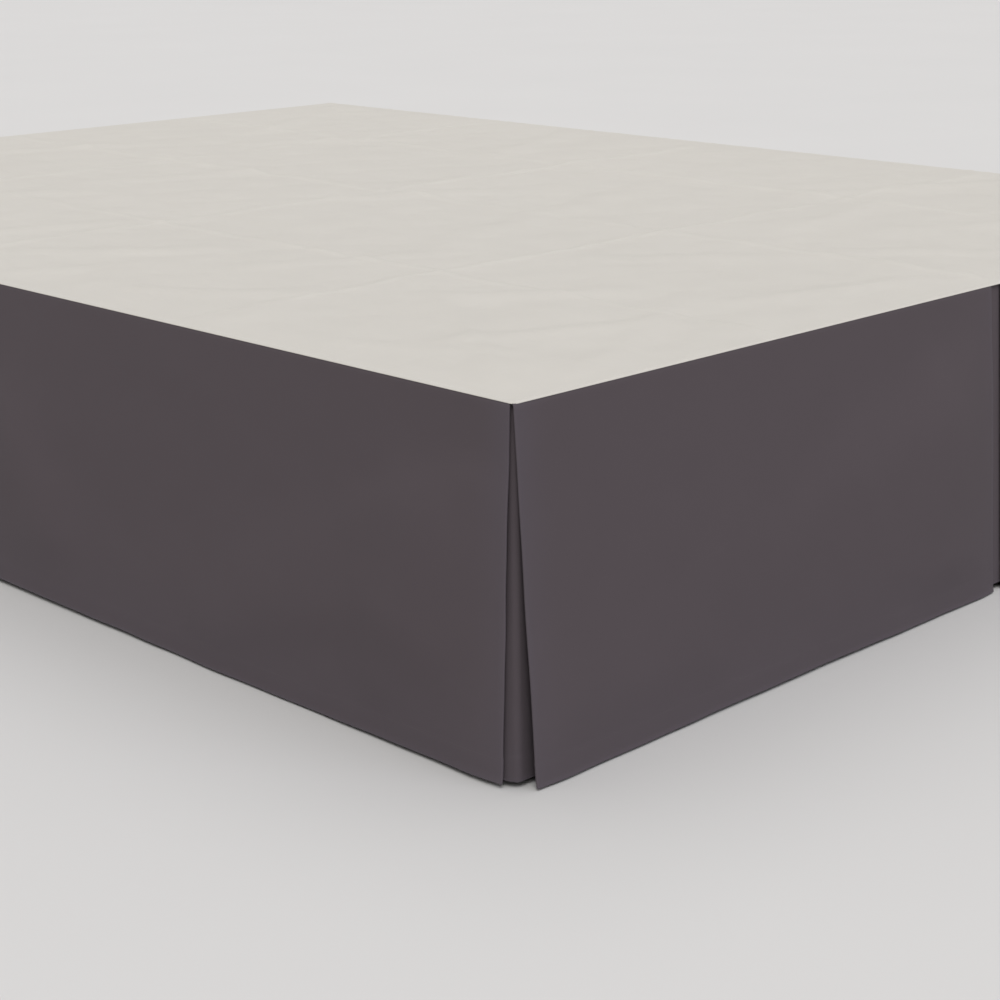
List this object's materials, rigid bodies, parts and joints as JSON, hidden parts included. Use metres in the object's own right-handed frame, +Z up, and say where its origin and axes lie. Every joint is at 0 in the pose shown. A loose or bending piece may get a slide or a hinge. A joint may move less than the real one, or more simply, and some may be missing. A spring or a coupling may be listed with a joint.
{
  "type": "bed skirt on bed base",
  "caption": "Tailored bed skirt with inverted pleats at the foot corners and side middles, hanging to the floor round a box foundation on a steel frame.",
  "frame": {"origin": "on the floor, under the middle of the whole part", "axes": "+X across the bed to the right as seen from the foot, +Y along the bed from the foot to the head, +Z up"},
  "size_m": [1.5621, 2.0549, 0.3603],
  "materials": {
    "skirt_poplin": "smooth pressed charcoal poplin, matt with a faint sheen",
    "platform_cloth": "plain off-white platform cloth",
    "ticking": "plain pale ticking with taped edges",
    "frame_steel": "dark brown powder coat",
    "glide_plastic": "black moulded plastic"
  },
  "bodies": {
    "root": {"deck": "platform_cloth", "drop_left": "skirt_poplin", "drop_foot": "skirt_poplin", "drop_right": "skirt_poplin", "underlay_left": "skirt_poplin", "underlay_right": "skirt_poplin", "foundation": "ticking", "rail_left": "frame_steel", "rail_right": "frame_steel", "cross_bar_head": "frame_steel", "cross_bar_middle": "frame_steel", "cross_bar_foot": "frame_steel", "leg_head_left": "frame_steel", "leg_head_middle": "frame_steel", "leg_head_right": "frame_steel", "leg_middle_left": "frame_steel", "leg_middle_middle": "frame_steel", "leg_middle_right": "frame_steel", "leg_foot_left": "frame_steel", "leg_foot_middle": "frame_steel", "leg_foot_right": "frame_steel", "glide_head_left": "glide_plastic", "glide_head_middle": "glide_plastic", "glide_head_right": "glide_plastic", "glide_middle_left": "glide_plastic", "glide_middle_middle": "glide_plastic", "glide_middle_right": "glide_plastic", "glide_foot_left": "glide_plastic", "glide_foot_middle": "glide_plastic", "glide_foot_right": "glide_plastic"}
  },
  "joints": []
}
